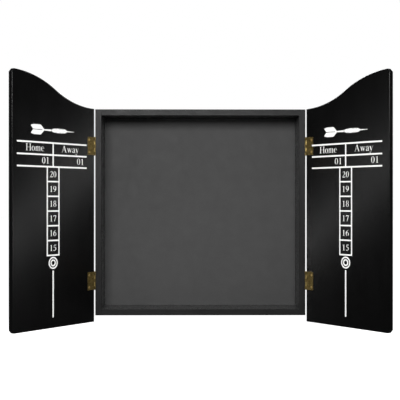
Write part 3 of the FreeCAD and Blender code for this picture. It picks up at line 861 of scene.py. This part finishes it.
# ================================================================ print meshes
class Sheet:
    """Collects outlines in one door's own plane (u to the viewer's right from the print's middle, z up from the door's foot,
    both mm) and turns them into one thin closed solid lying on the door's inner face."""

    THICK = 0.07
    SUNK = 0.03

    def __init__(self, name, body, to_world):
        self.name, self.body, self.to_world = name, body, to_world
        self.verts, self.faces = [], []

    def _solid(self, pts, tris, edges):
        n, base = len(pts), len(self.verts)
        for h in (self.THICK, -self.SUNK):
            self.verts += [self.to_world(u, z, h) for u, z in pts]
        for t in tris:
            self.faces.append(tuple(base + i for i in t))
            self.faces.append(tuple(base + n + i for i in reversed(t)))
        for a, b in edges:
            self.faces.append((base + b, base + a, base + n + a, base + n + b))

    def outlines(self, loops):
        """Loops run with the inside on their left, holes included."""
        verts, edges = [], []
        for l in loops:
            k = len(verts)
            verts += [Vector((float(x), float(y))) for x, y in l]
            edges += [(k + i, k + (i + 1) % len(l)) for i in range(len(l))]
        out, _, tris, *_ = geometry.delaunay_2d_cdt(verts, edges, [], 0, 1e-5, False)
        out = [tuple(v) for v in out]
        at, tri = np.array(out), np.array([t[:3] for t in tris])
        mid = at[tri].mean(axis=1)
        turns = np.zeros(len(tri), int)
        for l in loops:
            for (ax, ay), (bx, by) in zip(l, np.roll(l, -1, 0)):
                if ay != by:
                    hit = ((ay > mid[:, 1]) != (by > mid[:, 1])) & (mid[:, 0] < (bx - ax) * (mid[:, 1] - ay) / (by - ay) + ax)
                    turns += np.where(hit, 1 if by > ay else -1, 0)
        fixed = []
        for t in tri[turns > 0]:
            (ax, ay), (bx, by), (cx, cy) = (out[i] for i in t)
            t = tuple(int(i) for i in t)
            fixed.append(t if (bx - ax) * (cy - ay) - (by - ay) * (cx - ax) > 0 else tuple(reversed(t)))
        count = {}
        for t in fixed:
            for i in range(len(t)):
                count[(t[i], t[(i + 1) % len(t)])] = True
        rim = [e for e in count if (e[1], e[0]) not in count]
        self._solid(out, fixed, rim)

    def rects(self, rects):
        """Union of upright rectangles as one tidy mesh of quads."""
        xs = sorted({r[0] for r in rects} | {r[2] for r in rects})
        ys = sorted({r[1] for r in rects} | {r[3] for r in rects})
        full = set()
        for i in range(len(xs) - 1):
            for j in range(len(ys) - 1):
                mx, my = (xs[i] + xs[i + 1]) / 2, (ys[j] + ys[j + 1]) / 2
                if any(r[0] < mx < r[2] and r[1] < my < r[3] for r in rects):
                    full.add((i, j))
        index, pts, quads = {}, [], []

        def at(i, j):
            if (i, j) not in index:
                index[(i, j)] = len(pts)
                pts.append((xs[i], ys[j]))
            return index[(i, j)]

        for i, j in sorted(full):
            quads.append((at(i, j), at(i + 1, j), at(i + 1, j + 1), at(i, j + 1)))
        count = {}
        for q in quads:
            for i in range(4):
                count[(q[i], q[(i + 1) % 4])] = True
        self._solid(pts, quads, [e for e in count if (e[1], e[0]) not in count])

    def ring(self, cx, cz, r0, r1, n=96):
        pts, quads = [], []
        for i in range(n):
            a = 2 * math.pi * i / n
            pts += [(cx + r0 * math.cos(a), cz + r0 * math.sin(a)), (cx + r1 * math.cos(a), cz + r1 * math.sin(a))]
        for i in range(n):
            a, b = 2 * i, 2 * ((i + 1) % n)
            quads.append((a, a + 1, b + 1, b))
        rim = [(2 * i + 1, 2 * ((i + 1) % n) + 1) for i in range(n)] + [(2 * ((i + 1) % n), 2 * i) for i in range(n)]
        self._solid(pts, quads, rim)

    def build(self):
        me = bpy.data.meshes.new(self.name)
        me.from_pydata([tuple(v) for v in self.verts], [], self.faces)
        me.validate()
        me.update()
        ob = bpy.data.objects.new(self.name, me)
        scene.collection.objects.link(ob)
        me.materials.append(INK)
        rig.ride(ob, self.body)
        return ob


def door_plane(side, s_middle):
    """u, z, h in mm on the door's inner face at rest -> frame position in metres."""
    left = side == "left"

    def to_world(u, z, h):
        s = s_middle - u if left else s_middle + u
        x, y = EDGE + s * MM, FACE + h * MM
        c, sn = math.cos(-OPEN), math.sin(-OPEN)
        wx, wy = PIN.x + x * c - y * sn, PIN.y + x * sn + y * c
        return Vector((wx if left else -wx, wy, DOOR_FOOT + z * MM))

    return to_world


RULES = (424.8, 397.2, 370.1)
RULE_W, RULE_L = 3.6, 213.2
BOX_W, BOX_PITCH, BOX_N, BOX_LINE = 35.6, 33.8, 6, 3.3


def print_door(side, s_middle):
    plane = door_plane(side, s_middle)
    half, r = RULE_L / 2, RULE_W / 2
    table = Sheet(side + "_score_table_print", side + "_door", plane)
    rects = [(-half, z - r, half, z + r) for z in RULES]
    rects.append((-r, RULES[2], r, RULES[0]))
    b, l = BOX_W / 2, BOX_LINE / 2
    foot = RULES[2] - BOX_N * BOX_PITCH
    rects += [(-b - l, foot - l, -b + l, RULES[2]), (b - l, foot - l, b + l, RULES[2])]
    rects += [(-b - l, RULES[2] - k * BOX_PITCH - l, b + l, RULES[2] - k * BOX_PITCH + l) for k in range(1, BOX_N + 1)]
    table.rects(rects)
    table.ring(0.0, 149.5, 12.25 - 1.6, 12.25 + 1.6, 128)
    table.ring(0.0, 149.5, 6.35 - 1.6, 6.35 + 1.6, 96)
    table.rects([(-1.95, 24.6, 1.95, 131.8)])
    table.build()

    words = Sheet(side + "_score_lettering_print", side + "_door", plane)
    words.outlines(text("Home", -half / 2 - 1.0, 404.8, 15.8, 54.0))
    words.outlines(text("Away", half / 2, 404.8, 15.8, 55.0))
    words.outlines(text("01", -12.5 - 10.4, 377.0, 14.9, 20.8))
    words.outlines(text("01", half - 10.4 - 10.4, 377.0, 14.9, 20.8))
    for k, number in enumerate(("20", "19", "18", "17", "16", "15")):
        middle = RULES[2] - (k + 0.5) * BOX_PITCH
        words.outlines(text(number, 0.0, middle - 7.0, 14.0, 18.7))
    words.build()

    mark = Sheet(side + "_dart_mark_print", side + "_door", plane)
    mark.outlines(dart(0.0, 453.6, 132.8))
    mark.build()


print_door("left", 132.5)
print_door("right", 125.2)


# ================================================================ stage and light
def stage():
    me = bpy.data.meshes.new("floor")
    s, z = 30.0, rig.box("left_door_panel")[0].z - 0.45
    me.from_pydata([(-s, -s, z), (s, -s, z), (s, s, z), (-s, s, z)], [], [(0, 1, 2, 3)])
    ob = bpy.data.objects.new("floor", me)
    scene.collection.objects.link(ob)
    m = Mat("pale_floor")
    shade = m.spread(m.noise(m.place(), 3.0, 3.0, 0.5), 0.3, 0.7, 0.97, 1.0)
    m.bsdf.inputs["Emission Color"].default_value = (1.0, 1.0, 1.0, 1.0)
    m.bsdf.inputs["Emission Strength"].default_value = 1.0
    me.materials.append(m.finish(m.mix(1.0, grey(0.8), shade, "MULTIPLY"), 0.8))
    ob.visible_diffuse = False
    ob.visible_glossy = False
    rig.stage(ob)


def world(backdrop=1.0, ambient=0.10):
    """White backdrop for the camera. Everything else sees a dim, even room."""
    w = bpy.data.worlds.new("studio")
    scene.world = w
    w.use_nodes = True
    nt = w.node_tree
    nt.nodes.clear()
    out = nt.nodes.new("ShaderNodeOutputWorld")
    path = nt.nodes.new("ShaderNodeLightPath")
    mix = nt.nodes.new("ShaderNodeMixShader")
    seen = nt.nodes.new("ShaderNodeBackground")
    seen.inputs["Color"].default_value = (1, 1, 1, 1)
    seen.inputs["Strength"].default_value = backdrop
    room = nt.nodes.new("ShaderNodeBackground")
    room.inputs["Color"].default_value = (1, 1, 1, 1)
    room.inputs["Strength"].default_value = ambient
    nt.links.new(path.outputs["Is Camera Ray"], mix.inputs[0])
    nt.links.new(room.outputs[0], mix.inputs[1])
    nt.links.new(seen.outputs[0], mix.inputs[2])
    nt.links.new(mix.outputs[0], out.inputs[0])


def softbox(name, at, aim, size, watts, colour=(1, 1, 1), spread=180.0):
    data = bpy.data.lights.new(name, "AREA")
    data.shape = "RECTANGLE"
    data.size, data.size_y = size
    data.energy = watts
    data.color = colour
    data.spread = math.radians(spread)
    ob = bpy.data.objects.new(name, data)
    scene.collection.objects.link(ob)
    ob.location = at
    ob.rotation_euler = (Vector(aim) - Vector(at)).to_track_quat("-Z", "Y").to_euler()
    ob.visible_camera = False
    return ob


def sheen(name, side, through, x, width, watts):
    """Strip light that only one door sees, so that the door across from it doesn't stand in its way."""
    (y0, z0), (y1, z1) = through
    d = Vector((0.0, y1 - y0, z1 - z0)).normalized()
    mid = Vector((x, (y0 + y1) / 2, (z0 + z1) / 2))
    ob = softbox(name, mid, (0.0, mid.y, mid.z), (width, 1.9), watts)
    facing = Vector((-1.0 if x > 0 else 1.0, 0.0, 0.0))
    across = facing.cross(d)
    ob.rotation_euler = Matrix((across, d, -facing)).transposed().to_euler()
    lit = bpy.data.collections.new(name + "_receivers")
    shade = bpy.data.collections.new(name + "_blockers")
    for o in scene.objects:
        if o.type == "MESH" and o.get("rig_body") == side + "_door":
            lit.objects.link(o)
    shade.objects.link(bpy.data.objects["floor"])
    ob.data.cycles.use_multiple_importance_sampling = False
    ob.light_linking.receiver_collection = lit
    ob.light_linking.blocker_collection = shade
    return ob


stage()
world(1.0, 0.07)
softbox("key", (-0.15, -2.75, 0.84), (0.0, -0.05, 0.0), (1.5, 0.8), 82.0)
softbox("corner", (-0.45, -1.5, 0.52), (-0.12, -0.02, 0.12), (0.5, 0.3), 5.0)
softbox("left_side", (-2.1, -1.7, 0.5), (0.1, -0.1, 0.0), (1.0, 1.2), 9.0)
softbox("right_side", (2.1, -1.7, 0.5), (-0.1, -0.1, 0.0), (1.0, 1.2), 9.0)
softbox("top", (0.1, -0.5, 1.9), (0.0, -0.1, 0.0), (1.4, 1.0), 8.0)
softbox("rear_left", (-1.3, 2.2, 0.7), (-0.3, -0.2, 0.0), (1.0, 1.4), 26.0)
softbox("rear_right", (1.3, 2.2, 0.7), (0.3, -0.2, 0.0), (1.0, 1.4), 26.0)
softbox("back", (0.6, 2.4, 1.0), (0.0, 0.0, 0.0), (1.6, 1.4), 70.0)
softbox("under", (0.0, -1.6, -1.0), (0.0, -0.1, 0.0), (1.6, 0.6), 5.0)
sheen("sheen_left", "left", ((-0.277, -0.122), (0.033, 0.183)), 1.5, 0.10, 2.2)
sheen("sheen_right", "right", ((0.024, -0.125), (-0.295, 0.181)), -1.5, 0.10, 2.0)

lo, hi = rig.bounds()
with open("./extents.json", "w") as f:
    json.dump({"cad": [list(cad_lo), list(cad_hi)], "visual": [list(lo), list(hi)]}, f)
